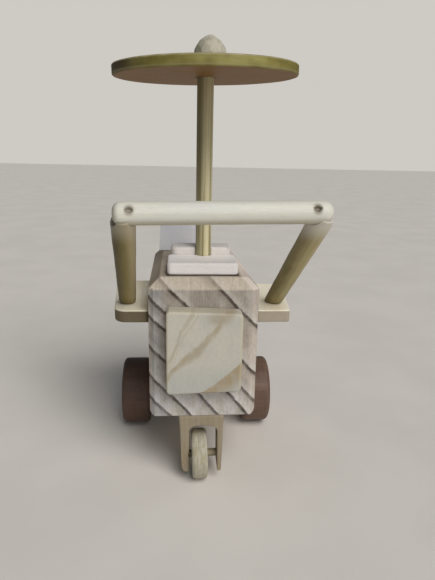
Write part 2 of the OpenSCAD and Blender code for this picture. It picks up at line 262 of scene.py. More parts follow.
def planed(bm, point, normal):
    """Cuts off what lies beyond a plane, and closes the cut."""
    geometry = bm.verts[:] + bm.edges[:] + bm.faces[:]
    cut = bmesh.ops.bisect_plane(
        bm, geom=geometry, dist=1e-5, plane_co=point, plane_no=normal, clear_outer=True
    )
    edges = [g for g in cut["geom_cut"] if isinstance(g, bmesh.types.BMEdge)]
    if edges:
        bmesh.ops.edgeloop_fill(bm, edges=edges)


def softened(bm, width, segments=3, chosen=lambda e: True, angle=25):
    """Rounds the sharp edges that are chosen."""
    bm.normal_update()
    edges = [
        e
        for e in bm.edges
        if len(e.link_faces) == 2 and e.calc_face_angle(0) > math.radians(angle) and chosen(e)
    ]
    bmesh.ops.bevel(
        bm, geom=edges, offset=width, segments=segments, profile=0.5, affect="EDGES", clamp_overlap=True
    )


def sliced(bm, step):
    """Cuts every face into cells no wider than step, so that its surface can be uneven."""
    for i in range(3):
        lo = min(v.co[i] for v in bm.verts)
        hi = max(v.co[i] for v in bm.verts)
        count = int((hi - lo) / step)
        normal = Vector([float(i == k) for k in range(3)])
        for k in range(1, count + 1):
            geometry = bm.verts[:] + bm.edges[:] + bm.faces[:]
            place = normal * (lo + (hi - lo) * k / (count + 1))
            bmesh.ops.bisect_plane(bm, geom=geometry, dist=1e-5, plane_co=place, plane_no=normal)


def uneven(place, shift=(0, 0, 0)):
    """A smooth field between 0 and 1, for dents."""
    return (noise.noise(Vector(place) + Vector(shift)) + 1) / 2


def worn(bm, amount, size, seed):
    """Sinks the surface unevenly by up to amount, in dents about as wide as size."""
    bm.normal_update()
    shift = Vector((seed * 7.3, seed * 3.1, seed * 5.7))
    for v in bm.verts:
        low, fine = uneven(v.co / size, shift), uneven(v.co * 3 / size, -shift)
        v.co -= v.normal * amount * (0.75 * low + 0.25 * fine)


def corner(before, here, after, radius, steps=5):
    """Points that round one corner of an outline."""
    a, b, c = Vector(before), Vector(here), Vector(after)
    u, v = (a - b).normalized(), (c - b).normalized()
    reach = radius / math.tan(u.angle(v) / 2)
    start, end = b + u * reach, b + v * reach
    centre = b + (u + v).normalized() * radius / math.sin(u.angle(v) / 2)
    made = []
    for i in range(steps + 1):
        p = start.lerp(end, i / steps) - centre
        made.append(centre + p.normalized() * radius)
    return made


def rounded(points, radii):
    made = []
    for i, (p, r) in enumerate(zip(points, radii)):
        if r:
            made += corner(points[i - 1], p, points[(i + 1) % len(points)], r)
        else:
            made.append(Vector(p))
    return made


def extruded(outline, low, high, axis):
    """A prism on an outline: of X and Y along Z, or of X and Z along Y."""
    bm = bmesh.new()

    def spot(p, level):
        return Vector((p[0], p[1], level)) if axis == "Z" else Vector((p[0], level, p[1]))

    rows = [[bm.verts.new(spot(p, level)) for p in outline] for level in (low, high)]
    count = len(outline)
    bm.faces.new(rows[0])
    bm.faces.new(rows[1][::-1])
    for i in range(count):
        k = (i + 1) % count
        bm.faces.new((rows[0][i], rows[1][i], rows[1][k], rows[0][k]))
    bmesh.ops.recalc_face_normals(bm, faces=bm.faces[:])
    return bm


def lathed(profile, segments=96, ring=False):
    """A turned shape round Z. profile is (radius, height) pairs from bottom to top; ring closes it."""
    bm = bmesh.new()
    rows = []
    for r, z in profile:
        if r < 1e-6:
            rows.append([bm.verts.new((0, 0, z))])
        else:
            angles = [2 * math.pi * i / segments for i in range(segments)]
            rows.append([bm.verts.new((r * math.cos(a), r * math.sin(a), z)) for a in angles])
    pairs = list(zip(rows, rows[1:]))
    if ring:
        pairs.append((rows[-1], rows[0]))
    for below, above in pairs:
        for i in range(segments):
            k = (i + 1) % segments
            corners = [below[i % len(below)], below[k % len(below)]]
            corners += [above[k % len(above)], above[i % len(above)]]
            bm.faces.new(list(dict.fromkeys(corners)))
    bmesh.ops.recalc_face_normals(bm, faces=bm.faces[:])
    return bm


def steps(a, b, count):
    """Even steps from a to b, both included."""
    return [a + (b - a) * i / count for i in range(count + 1)]


def arc(centre_r, centre_z, radius, start, end, count=5):
    """Points of a profile's rounding, its angles in degrees from straight out."""
    return [
        (centre_r + radius * math.cos(math.radians(a)), centre_z + radius * math.sin(math.radians(a)))
        for a in steps(start, end, count)
    ]


def dented_tread(bm, inner, depth, around, along, seed=0.0):
    """Pulls a turned shape in unevenly by up to depth, outside an inner radius."""
    for v in bm.verts:
        r = math.hypot(v.co.x, v.co.y)
        if r > inner:
            a = math.atan2(v.co.y, v.co.x)
            dent = uneven((math.cos(a) * around, math.sin(a) * around, v.co.z * along + seed))
            v.co.x *= 1 - depth * dent / r
            v.co.y *= 1 - depth * dent / r


def drill(radius, low, high, place, segments=64):
    """A round cutter along Z, moved to its place."""
    return moved(lathed([(0, low), (radius, low), (radius, high), (0, high)], segments), place)


def moved(bm, matrix):
    bmesh.ops.transform(bm, matrix=matrix, verts=bm.verts[:])
    return bm


def facing(axis, centre):
    """Turns Z onto an axis, and the origin onto a centre."""
    turn = UP.rotation_difference(Vector(axis).normalized()).to_matrix().to_4x4()
    return Matrix.Translation(Vector(centre)) @ turn


def bored(piece, cutter):
    """Cuts a cutter's mesh out of a piece."""
    tool = bpy.data.objects.new("drill", to_mesh("drill", cutter))
    bpy.context.scene.collection.objects.link(tool)
    cut = piece.modifiers.new("bore", "BOOLEAN")
    cut.operation = "DIFFERENCE"
    cut.solver = "EXACT"
    cut.object = tool
    baked(piece)
    bpy.data.objects.remove(tool)


def baked(piece):
    """Applies a piece's modifiers to its mesh."""
    bpy.context.view_layer.update()
    shape = piece.evaluated_get(bpy.context.evaluated_depsgraph_get())
    made = bpy.data.meshes.new_from_object(shape)
    piece.modifiers.clear()
    piece.data = made
    for p in made.polygons:
        p.use_smooth = True


def to_mesh(name, bm):
    moved(bm, Matrix.Translation(HOME) @ Matrix.Scale(MM, 4))
    bm.normal_update()
    mesh = bpy.data.meshes.new(name)
    bm.to_mesh(mesh)
    bm.free()
    for p in mesh.polygons:
        p.use_smooth = True
    return mesh


def piece(name, bm, material, body, slot, node, drills=()):
    """A finished piece that stands for a CAD node and rides on its body."""
    ob = bpy.data.objects.new(name, to_mesh(name, bm))
    bpy.context.scene.collection.objects.link(ob)
    for d in drills:
        bored(ob, d)
    ob.data.materials.clear()
    ob.data.materials.append(material)
    even = ob.modifiers.new("even shading", "WEIGHTED_NORMAL")
    even.weight = 60
    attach(ob, body)
    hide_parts(node)
    return ob


def rod_profile(length, radius, edge, edge_steps=4, pitch=2.0):
    """Profile of a round stick along Z with rounded ends, cut into short lengths."""
    bottom = [(0, 0)] + arc(radius - edge, edge, edge, -90, 0, edge_steps)
    top = arc(radius - edge, length - edge, edge, 0, 90, edge_steps) + [(0, length)]
    count = max(2, int(length / pitch))
    return bottom + [(radius, z) for z in steps(edge, length - edge, count)[1:-1]] + top


def wheel_profile(radius, width, bore, edge, flat=8):
    """Profile of a solid wheel along Z with a bore, its tread's edges rounded."""
    low = [(r, 0) for r in steps(bore, radius - edge, flat)][:-1]
    tread = arc(radius - edge, edge, edge, -90, 0) + arc(radius - edge, width - edge, edge, 0, 90)
    high = [(r, width) for r in steps(radius - edge, bore, flat)][1:]
    return low + tread + high


# ----
# Body block: end grain on its front and back, long grain along its sides. Its growth rings run
# round a pith far outside the block, and each has a radius and a strength.
BODY_PITH = (-239, 0, -171)
BODY_RINGS = ((302, 0.7), (308, 0.8), (316, 0.75), (324.5, 0.85), (329.6, 0.7), (336.8, 0.85), (349, 0.8))
b_lo, b_hi = span("body_block")
TOP_CHAMFER = 4.0
SIDE_CHAMFER = 2.0
RIGHT_TAPER = 3.0
RIGHT_SLOPE = RIGHT_TAPER / (b_hi.y - b_lo.y - SIDE_CHAMFER)
LOW_ROUND = 3.0
SEAT_MIDDLE, SEAT_HALF = (-0.3, 17.9, 0.0), (12.4, 12.1, 0.0)


def body_material():
    t = Tree("pine end grain", 0.74, 0.15)
    here = t.place(BODY_PITH, (0, 1, 0))
    spot = t.place()
    x, y, z = t.axes(spot)
    rx, ry, _ = t.axes(here)
    wave = t.noise(here, 0.07, 0.07, 0.015, 3)
    ragged = t.noise(here, 1.1, 1.1, 0.05, 6)
    radius = t.math("SQRT", t.plus(t.times(rx, rx), t.times(ry, ry)))
    radius = t.plus(t.plus(radius, t.sway(wave, 1.6)), t.sway(ragged, 0.7))
    # the light wood: paler at the bottom, beige on the top chamfer; painted shade makes it cooler and darker
    # on the left, and painted highlights make it creamy at the right and at the right end of the chamfer
    edge = b_hi.z - TOP_CHAMFER
    front = t.spread(y, 0.6, 1.6, 1.0, 0.0)
    end_grain = t.spread(y, TOP_CHAMFER - 0.4, TOP_CHAMFER + 0.6, 1.0, 0.0)
    cloud = t.noise(spot, 0.16, 0.16, 0.13, 12)
    base = t.mix(t.spread(cloud, 0.36, 0.64), tone(163, 153, 142), tone(182, 173, 162))
    bottom = t.times(t.spread(z, b_lo.z + 15, b_lo.z + 7, 0.0, 0.6), front)
    base = t.mix(bottom, base, tone(200, 196, 196))
    # painted shade: the front's left side darker and cooler
    left_painted_shade = t.times(t.spread(x, -12, -17, 0.0, 0.38), front)
    base = t.mix(left_painted_shade, base, tone(140, 146, 154))
    # painted highlight: a creamy strip down the right edge of the front
    right_painted_highlight = t.times(t.spread(x, 15.6, 18.2, 0.0, 0.6), end_grain)
    base = t.mix(right_painted_highlight, base, tone(206, 194, 181))
    beige = t.times(t.spread(z, edge - 0.4, edge + 0.4, 0.0, 0.8), end_grain)
    base = t.mix(beige, base, tone(224, 210, 190))
    olive = t.spread(t.noise(spot, 0.55, 0.4, 0.14, 31), 0.5, 0.64, 0.0, 0.5)
    base = t.mix(t.times(olive, bottom), base, tone(156, 152, 112))
    # each ring darkens slowly to a dark line, and starts again pale beyond it
    dusk, late, fresh = 0.0, 0.0, 0.0
    for ring, deep in BODY_RINGS:
        start = t.spread(radius, ring + 0.9, ring + 1.25, 0.0, 0.36 * deep)
        fresh = t.most(fresh, t.times(start, t.spread(radius, ring + 1.5, ring + 3.6, 1.0, 0.0)))
        before = t.spread(radius, ring - 2.8, ring - 0.2, 0.0, 0.38 * deep)
        dusk = t.most(dusk, t.times(before, t.math("LESS_THAN", radius, ring + 1.0)))
        rise = t.spread(radius, ring - 0.55, ring + 0.2, 0.0, deep)
        late = t.most(late, t.times(rise, t.spread(radius, ring + 0.75, ring + 1.05, 1.0, 0.0)))
    patchy = t.noise(spot, 0.35, 0.35, 0.35, 21)
    late = t.times(late, t.spread(patchy, 0.3, 0.62, 0.65, 1.0))
    late = t.times(late, t.spread(z, edge - 0.3, edge + 0.5, 1.0, 0.35))
    colour = t.mix(fresh, base, tone(222, 218, 212))
    colour = t.mix(dusk, colour, tone(116, 102, 90))
    colour = t.mix(late, colour, tone(54, 44, 37))
    # upright saw marks on the end grain, fibres along the sides
    saw = t.noise(spot, 2.3, 0.0, 0.10, 5, 3.0, 0.65)
    fleck = t.noise(spot, 1.2, 1.2, 0.8, 9, 3.0, 0.6)
    sawn = t.plus(t.times(saw, 0.55), t.times(fleck, 0.45))
    fibre = t.noise(here, 2.4, 2.4, 0.07, 7, 3.0, 0.6)
    along_side = t.minus(1.0, end_grain)
    on_front = t.spread(sawn, 0.32, 0.68, 0.80, 1.18, smooth=False)
    on_side = t.spread(fibre, 0.3, 0.7, 0.84, 1.12, smooth=False)
    colour = t.shade(colour, t.plus(t.times(on_front, end_grain), t.times(on_side, along_side)))
    colour = t.mix(end_grain, t.mix(0.55, colour, tone(190, 172, 148)), colour)
    # painted highlight on the right end of the top chamfer
    slope = t.plus(x, t.minus(z, edge))
    bevel = t.times(t.spread(slope, 16.4, 18.2, 0.0, 0.9), t.spread(z, edge - 0.2, edge + 0.3))
    colour = t.mix(bevel, colour, tone(240, 226, 214))
    # painted shade: a dark contact line on the body's top round the foot of the seat
    aside = t.vector("ABSOLUTE", t.vector("SUBTRACT", t.stretched(spot, 1.0, 1.0, 0.0), SEAT_MIDDLE))
    aside = t.vector("MAXIMUM", t.vector("SUBTRACT", aside, SEAT_HALF), (0.0, 0.0, 0.0))
    seat_contact_shade = t.spread(t.vector("LENGTH", aside), 0.3, 1.5, 0.8, 0.0)
    seat_contact_shade = t.times(seat_contact_shade, t.spread(z, b_hi.z - 0.8, b_hi.z - 0.3))
    colour = t.mix(seat_contact_shade, colour, tone(52, 40, 34))
    return t.finish(colour, t.plus(t.times(saw, end_grain), t.times(fibre, along_side)), 0.7, 0.16)


def body_block():
    bm = block(b_lo, b_hi)
    right = Vector((1, RIGHT_SLOPE, 0)).normalized()
    planed(bm, (b_hi.x, SIDE_CHAMFER, 0), right)
    top = b_hi.z - TOP_CHAMFER
    planed(bm, (0, 0, top), (0, -1, 1))
    planed(bm, (0, b_hi.y, top), (0, 1, 1))
    planed(bm, (b_lo.x, 0, top), (-1, 0, 1))
    planed(bm, (b_hi.x, SIDE_CHAMFER, top), (right + UP).normalized())
    planed(bm, (b_lo.x, SIDE_CHAMFER, 0), (-1, -1, 0))
    planed(bm, (b_hi.x, SIDE_CHAMFER, 0), (1, -1, 0))
    softened(bm, LOW_ROUND, 5, lambda e: all(abs(v.co.z - b_lo.z) < 0.01 for v in e.verts) and
             abs(e.verts[0].co.y - e.verts[1].co.y) > 30)
    softened(bm, 0.45, 3)
    sliced(bm, 1.6)
    worn(bm, 0.16, 9.0, 1)
    return piece("pine_body", bm, body_material(), "chassis", "body_pine", "body_block")


# Nose block: a slightly crooked square with slanting figure in its face. The bands fan out from a
# point low on its left: angle at the left edge and further in, width below and above, strength.
n_lo, n_hi = span("nose_block")
NOSE_SKEW = 0.5
NOSE_FAN = (-35.6, 14.2)
NOSE_BANDS = ((60.6, 63.2, 1.2, 0.9, 0.42), (59.0, 61.2, 0.6, 0.6, 0.22), (56.4, 52.8, 2.2, 1.3, 0.70),
              (38.7, 38.7, 10.0, 0.5, 0.95))


def nose_material():
    t = Tree("nose pine", 0.62, 0.25)
    here = t.place((-26, 0, 74), (0, 1, 0))
    spot = t.place()
    x, _, z = t.axes(spot)
    wave = t.noise(spot, 0.09, 0.03, 0.09, 2.2)
    ragged = t.noise(spot, 0.7, 0.1, 0.7, 5.2)
    turn = t.math("ARCTAN2", t.minus(z, NOSE_FAN[1]), t.minus(x, NOSE_FAN[0]))
    turn = t.times(turn, math.degrees(1))
    turn = t.plus(t.plus(turn, t.sway(wave, 5.0)), t.sway(ragged, 1.1))
    inward = t.spread(x, n_lo.x + 1, n_lo.x + 14)
    band = 0.0
    for outer, inner, below, above, strength in NOSE_BANDS:
        off = t.minus(turn, t.spread(inward, 0.0, 1.0, outer, inner, smooth=False))
        rise = t.spread(off, -below, -below * 0.15, 0.0, strength)
        fall = t.spread(off, above * 0.15, above, 1.0, 0.0)
        band = t.most(band, t.times(rise, fall))
    knot = t.vector("DISTANCE", t.stretched(spot, 0.6, 0.0, 1.0), (0.6 * 5.2, 0.0, n_hi.z - 2.6))
    band = t.most(band, t.spread(knot, 0.6, 3.8, 0.75, 0.0))
    fade = t.noise(spot, 0.25, 0.1, 0.25, 8.2)
    band = t.times(band, t.spread(fade, 0.3, 0.6, 0.75, 1.0))
    low = t.spread(z, n_lo.z + 16, n_lo.z + 4)
    colour = t.mix(band, t.mix(low, tone(193, 188, 174), tone(182, 180, 171)), tone(160, 142, 112))
    fibre = t.noise(here, 1.5, 1.5, 0.25, 4, 3.0, 0.6)
    rays = t.noise(spot, 2.8, 1.0, 0.3, 6, 2.0, 0.6)
    mixed = t.plus(t.times(fibre, 0.55), t.times(rays, 0.45))
    colour = t.shade(colour, t.spread(mixed, 0.32, 0.68, 0.92, 1.06, smooth=False))
    cloud = t.noise(spot, 0.16, 0.16, 0.11, 8)
    colour = t.mix(t.spread(cloud, 0.45, 0.7, 0.0, 0.3), colour, tone(168, 170, 164))
    rim = t.math("MINIMUM", t.minus(x, n_lo.x), t.minus(n_hi.x, x))
    rim = t.math("MINIMUM", rim, t.minus(n_hi.z, z))
    colour = t.mix(t.spread(rim, 0.3, 1.5, 0.4, 0.0), colour, tone(198, 186, 158))
    return t.finish(colour, mixed, 0.45, 0.1)


def nose_block():
    low_right, high_right = n_lo.z + 2 * NOSE_SKEW, n_hi.z - 2 * NOSE_SKEW
    corners = [(n_lo.x, n_lo.z), (n_hi.x, low_right), (n_hi.x, high_right), (n_lo.x, n_hi.z)]
    bm = extruded(rounded(corners, [1.6] * 4), n_lo.y, n_hi.y, "Y")
    softened(bm, 0.8, 4, angle=40)
    sliced(bm, 1.3)
    worn(bm, 0.14, 7.0, 4)
    return piece("nose_plate", bm, nose_material(), "chassis", "nose_pine", "nose_block")


body_block()
nose_block()

# ----
# Seat: two slats round the mast, and a back board
mast_lo, mast_hi = span("mast")
MAST = Vector(((mast_lo.x + mast_hi.x) / 2, (mast_lo.y + mast_hi.y) / 2, 0))
MAST_R = (mast_hi.x - mast_lo.x) / 2
GLUE, RUN = 0.05, 0.08  # gaps round a glued stick, and round one that turns


def slat(name, node, radius, edge, material, seed):
    lo, hi = span(node)
    outline = rounded([(lo.x, lo.y), (hi.x, lo.y), (hi.x, hi.y), (lo.x, hi.y)], [radius] * 4)
    bm = extruded(outline, lo.z, hi.z, "Z")
    softened(bm, edge, 4, angle=40)
    sliced(bm, 1.3)
    worn(bm, 0.12, 6.0, seed)
    hole = drill(MAST_R + GLUE, mast_lo.z, mast_hi.z, Matrix.Translation(MAST))
    return piece(name, bm, material, "chassis", "seat_wood", node, drills=[hole])


slat("front_slat", "seat_front_slat", 1.5, 0.8,
     wood("seat slat wood", tone(253, 247, 244), tone(232, 220, 208), (3, 40, 60), (1, 0.02, 0), 2.6,
          ring=0.25, fibre=0.04, patch=0.2, patch_tone=tone(240, 232, 228), rough=0.55, bump=0.3, seed=2), 7)
slat("rear_slat", "seat_rear_slat", 2.5, 1.1,
     wood("seat slat wood rear", tone(226, 220, 214), tone(206, 194, 182), (6, 5, 60), (1, -0.03, 0), 2.4,
          ring=0.35, fibre=0.07, patch=0.25, patch_tone=tone(212, 206, 204), rough=0.55, bump=0.3, seed=5), 9)

k_lo, k_hi = span("back_board")


def back_board():
    outline = rounded(
        [(k_lo.x, k_lo.z), (k_hi.x, k_lo.z), (k_hi.x, k_hi.z), (k_lo.x + 1, k_hi.z)], [0, 0, 1, 1]
    )
    bm = extruded(outline, k_lo.y, k_hi.y, "Y")
    softened(bm, 0.45, 3, angle=40)
    sliced(bm, 1.3)
    worn(bm, 0.12, 6.0, 12)
    made = wood("back board wood", tone(250, 250, 255), tone(232, 228, 234), (30, 51, 60), (0.06, 0, 1), 3.4,
                ring=0.12, fibre=0.03, patch=0.3, patch_tone=tone(236, 236, 250), rough=0.6, bump=0.3, seed=8)
    return piece("back_rest", bm, made, "chassis", "back_wood", "back_board")


back_board()


# ----
# Side boards, uprights and the push bar
WING_FLARE = 3.8


def side_board(name, node, side, front_round, seed):
    """A ledge glued to one side of the body: side is -1 on the left and 1 on the right."""
    lo, hi = span(node)
    slope = RIGHT_SLOPE if side > 0 else 0.0

    def wall(y):
        return b_hi.x - slope * (y - SIDE_CHAMFER)

    outer = hi.x if side > 0 else -lo.x
    corners = [(wall(lo.y), lo.y), (outer - WING_FLARE, lo.y), (outer, hi.y), (wall(hi.y), hi.y)]
    outline = rounded(corners, [0, front_round, 1.2, 0])
    if side < 0:
        outline = [Vector((-p.x, p.y)) for p in outline][::-1]
    bm = extruded(outline, lo.z, hi.z, "Z")
    softened(bm, 0.5, 3, lambda e: any(abs(v.co.x) > abs(wall(v.co.y)) + 0.3 for v in e.verts), angle=40)
    sliced(bm, 1.4)
    worn(bm, 0.12, 6.0, seed)
    # the left board's much darker edge tone is painted shade laid over the sawn edge
    edge_tone_and_shade, depth = (tone(88, 74, 47), 0.95) if side < 0 else (tone(140, 124, 106), 0.8)

    def edges(t, colour, height):
        # the sawn edges are darker than the pale planed top; on the left board most of that darkness is
        # painted shade, and the extra darkening beside the body is painted shade
        x, _, z = t.axes(t.place())
        low = t.spread(z, hi.z - 0.1, hi.z - 0.7, 0.0, depth)
        near = t.math("ABSOLUTE", t.minus(x, side * (b_hi.x + 0.2)))
        corner_painted_shade = t.times(t.spread(near, 0.1, 0.7, 0.35, 0.0), low)
        return t.mix(corner_painted_shade, t.mix(low, colour, edge_tone_and_shade), tone(110, 96, 72)), height

    made = wood(name + " wood", tone(255, 248, 226), tone(236, 218, 182), (side * 60, 0, 40),
                (0.03 * side, 1, 0), 3.4, ring=0.3, fibre=0.06, patch=0.35, patch_tone=tone(236, 220, 184),
                rough=0.6, bump=0.45, seed=seed, extra=edges)
    return piece(name, bm, made, "chassis", "side_board_wood", node)


side_board("left_wing", "left_side_board", -1, 4.5, 14)
side_board("right_wing", "right_side_board", 1, 1.2, 16)

bar_lo, bar_hi = span("push_bar")
wing_hi = span("left_side_board")[1]
BAR_R = (bar_hi.y - bar_lo.y) / 2
BAR_RISE = 1.3
RIGHT_END = bar_hi.x - 0.03
bar_middle = (bar_lo + bar_hi) / 2
BAR_START = Vector((bar_lo.x, bar_middle.y, bar_middle.z - BAR_RISE / 2))
BAR_END = Vector((RIGHT_END, bar_middle.y, bar_middle.z + BAR_RISE / 2))
ALONG_BAR = (BAR_END - BAR_START).normalized()
LEFT_IN, RIGHT_IN = 3.1, 2.4  # uprights' axes in from the bar's ends
TOPS = [BAR_START + ALONG_BAR * LEFT_IN, BAR_END - ALONG_BAR * RIGHT_IN]
FEET = [Vector((x, 15.6, wing_hi.z)) for x in (-28.5, 27.6)]
FOOT_R, TOP_R = 3.3, 4.15


def cope_share(start, way):
    """How far along a line of an upright the push bar's round underside lies, 1 at its own end."""
    gap = start - BAR_START
    gap -= ALONG_BAR * gap.dot(ALONG_BAR)
    way = way - ALONG_BAR * way.dot(ALONG_BAR)
    p, q, c = way.dot(way), 2 * gap.dot(way), gap.dot(gap) - (BAR_R + GLUE) ** 2
    room = q * q - 4 * p * c
    return 1.0 if room < 0 else min(1.0, (-q - math.sqrt(room)) / (2 * p))


def upright(name, node, i, material):
    """A tapered stick sawn flat where it stands, its top end coped round the push bar."""
    foot = FEET[i]
    whole = TOPS[i] - foot
    along = whole.normalized()
    across = along.cross(Vector((1, 0, 0))).normalized()
    beside = along.cross(across)
    bm = bmesh.new()
    lines, count = 72, 44
    turns = [2 * math.pi * k / lines for k in range(lines)]
    outs = [across * math.cos(a) + beside * math.sin(a) for a in turns]

    def line(out, part):
        """Foot end, direction and both shares of one line of the stick, at a part of its radius."""
        start = foot + out * FOOT_R * part
        way = whole + out * (TOP_R - FOOT_R) * part
        low = (foot.z - start.z) / way.z
        return start, way, low, cope_share(start, way)

    rows = []
    for k in range(count + 1):
        row = []
        for out in outs:
            start, way, low, high = line(out, 1.0)
            share = low + (high - low) * k / count
            spot = start + way * share
            dent, fine = uneven(spot / 5.0, (i * 9, 4, 2)), uneven(spot / 1.6, (2, i * 5, 7))
            sink = 0.16 * dent + 0.05 * fine + (0.25 if k == 0 else 0.06 if k == 1 else 0.0)
            row.append(bm.verts.new(spot - out * sink))
        rows.append(row)
    for part in (0.8, 0.5, 0.2):
        ends = [line(out, part) for out in outs]
        rows.append([bm.verts.new(start + way * high) for start, way, _, high in ends])
    for below, above in zip(rows, rows[1:]):
        for k in range(lines):
            m = (k + 1) % lines
            bm.faces.new((below[k], below[m], above[m], above[k]))
    bm.faces.new(rows[0][::-1])
    bm.faces.new(rows[-1])
    for v in bm.verts:
        v.co.x = min(v.co.x, RIGHT_END)
    bmesh.ops.recalc_face_normals(bm, faces=bm.faces[:])
    return piece(name, bm, material, "chassis", "upright_wood", node)


def stick_wood(name, i, seed):
    """Olive brown stick with painted shade down its left side and at its foot, painted light down its right,
    its top rubbed pale.
    """
    foot, top = FEET[i], TOPS[i]
    lean = top - foot
    pale, pith_x = (tone(176, 163, 118), 5) if i else (tone(139, 126, 78), -4)
    painted_shade_left, painted_light_right, rubbed = (0.35, 0.3, 0.8) if i else (0.7, 0.65, 0.3)

    def sides(t, colour, height):
        x, _, z = t.axes(t.place())
        middle = t.plus(t.times(t.minus(z, foot.z), lean.x / lean.z), foot.x)
        beside = t.minus(x, middle)
        # painted shade down the left side, painted light down the right side
        colour = t.mix(t.spread(beside, 1.2, -3.0, 0.0, painted_shade_left), colour, tone(66, 54, 24))
        colour = t.mix(t.spread(beside, 0.2, 3.2, 0.0, painted_light_right), colour, tone(192, 175, 141))
        # painted shade at the foot, where the stick stands on the board
        end = t.spread(z, foot.z + 4.5, foot.z + 0.5, 0.0, 0.45)
        colour = t.mix(end, colour, tone(96, 82, 44))
        worn_top = t.spread(z, top.z - 11.0, top.z - 4.0, 0.0, rubbed)
        return t.mix(worn_top, colour, tone(224, 218, 206)), height

    pith = tuple(foot + Vector((pith_x, -6, 0)))
    return wood(name, pale, tone(126, 111, 70), pith, lean, 1.9, ring=0.35, fibre=0.10, patch=0.5,
                patch_tone=tone(114, 104, 62), wobble=0.8, rough=0.5, bump=0.3, seed=seed, extra=sides)


for i, side in enumerate(("left", "right")):
    upright(side + "_stick", side + "_upright", i, stick_wood(side + "_stick wood", i, 20 + i))


def push_bar():
    """A dowel with rounded ends and a rough sunk hole over each upright's nail."""
    length = (BAR_END - BAR_START).length
    left_round, right_round = 2.6, 3.4
    hole_up = math.radians(25)
    holes = [LEFT_IN + 2.2, length - RIGHT_IN - 3.4]
    hole_r, lip = 0.75, 0.45
    places = set(steps(left_round, length - right_round, 34))
    for h in holes:
        places |= set(steps(h - 1.7, h + 1.7, 16))
    kept = []
    for p in sorted(places):
        if p >= left_round and (not kept or p - kept[-1] > 0.12):
            kept.append(p)
    profile = [(0, 0)] + arc(BAR_R - left_round, left_round, left_round, -90, 0, 7)[:-1]
    profile += [(BAR_R, p) for p in kept]
    profile += arc(BAR_R - right_round, length - right_round, right_round, 0, 90, 9)[1:] + [(0, length)]
    bm = lathed(profile, 120)
    turn = facing(ALONG_BAR, BAR_START)
    mouth = Vector((0, -math.cos(hole_up), math.sin(hole_up)))
    local_mouth = turn.to_3x3().inverted() @ mouth
    local_mouth.z = 0
    for v in bm.verts:
        spoke = Vector((v.co.x, v.co.y, 0))
        if spoke.length < BAR_R * 0.6:
            continue
        around = spoke.angle(local_mouth) * BAR_R
        sink = 0.10 * uneven(v.co / 5.0, (31, 7, 3))
        if spoke.length > BAR_R * 0.97:
            for h in holes:
                gap = math.hypot((v.co.z - h) * 0.8, around * 1.1)
                ragged = hole_r + 0.22 * noise.noise(v.co * 1.3) + lip
                share = min(1.0, max(0.0, (ragged - gap) / 0.7))
                sink += share * share * (3 - 2 * share)
        v.co -= spoke.normalized() * sink
    moved(bm, turn)

    def holes_and_painted_shade(t, colour, height):
        spot = t.place()
        for h, deep in zip(holes, (0.7, 0.85)):
            centre = BAR_START + ALONG_BAR * h + mouth * (BAR_R - 0.9)
            near = t.spread(t.vector("DISTANCE", spot, tuple(centre)), 1.0, 2.3, deep, 0.0)
            colour = t.mix(near, colour, tone(96, 84, 58))
        x, _, z = t.axes(spot)
        rise = BAR_RISE / (BAR_END.x - BAR_START.x)
        lift = t.minus(z, t.plus(t.times(x, rise), BAR_START.z - BAR_START.x * rise))
        # painted shade along the bar's underside
        painted_under_shade = t.spread(lift, -1.2, -3.4, 0.0, 0.5)
        colour = t.mix(painted_under_shade, colour, tone(150, 142, 108))
        # painted shade on the bar's left end
        left = t.spread(x, BAR_START.x + 2.2, BAR_START.x - 0.2, 0.0, 0.55)
        return t.mix(left, colour, tone(120, 112, 78)), height

    pith = (4, BAR_START.y - 9, BAR_START.z - 12)
    made = wood("push bar wood", tone(222, 219, 206), tone(200, 192, 168), pith, (1, 0.01, 0.015), 2.0,
                ring=0.4, fibre=0.06, patch=0.3, patch_tone=tone(206, 208, 208), wobble=0.4, rough=0.42,
                bump=0.3, seed=24, extra=holes_and_painted_shade)
    return piece("grip_bar", bm, made, "chassis", "push_bar_wood", "push_bar")


push_bar()

# ----
# Mast, parasol disc and carved knob
DIP, ROLL_OVER = math.radians(1.3), math.radians(1.3)
TILT = Matrix.Rotation(-ROLL_OVER, 4, "Y") @ Matrix.Rotation(DIP, 4, "X")
DISC_R = 32.6
DISC_T = 3.7
DISC_Z = 150.7


def mast():
    bm = lathed(rod_profile(mast_hi.z - mast_lo.z, MAST_R, 0.25, 2, 1.5), 80)
    moved(bm, Matrix.Translation((MAST.x, MAST.y, mast_lo.z)))
    for v in bm.verts:
        spoke = Vector((v.co.x - MAST.x, v.co.y - MAST.y, 0))
        if spoke.length > MAST_R * 0.9:
            low = uneven((spoke.x * 0.6, spoke.y * 0.6, v.co.z * 0.06), (3, 9, 1))
            v.co -= spoke.normalized() * 0.08 * low

    def stripes(t, colour, height):
        spot = t.place()
        x, _, z = t.axes(spot)
        line = t.noise(spot, 1.7, 0.5, 0.012, 3, 1.0, 0.4)
        mark = t.spread(line, 0.52, 0.62, 0.0, 0.75)
        colour = t.mix(mark, colour, tone(128, 118, 74))
        # painted shade: the parasol's shadow darkens the mast towards its top, and more painted shade darkens
        # its left side
        high = t.spread(z, 98, 132)
        shaded = t.spread(high, 0.0, 1.0, 0.35, 0.85, smooth=False)
        left = t.times(t.spread(x, MAST.x + 0.9, MAST.x - 2.0), shaded)
        colour = t.mix(left, colour, tone(98, 90, 58))
        colour = t.mix(t.times(high, 0.28), colour, tone(112, 100, 66))
        return colour, t.minus(height, t.times(mark, 0.3))

    made = wood("mast wood", tone(218, 208, 170), tone(162, 148, 104), (4, 14, 0), (0, 0, 1), 1.3,
                ring=0.7, fibre=0.12, patch=0.2, patch_tone=tone(170, 160, 116), wobble=0.3, rough=0.5,
                bump=0.4, seed=30, extra=stripes)
    return piece("mast_dowel", bm, made, "chassis", "mast_wood", "mast")


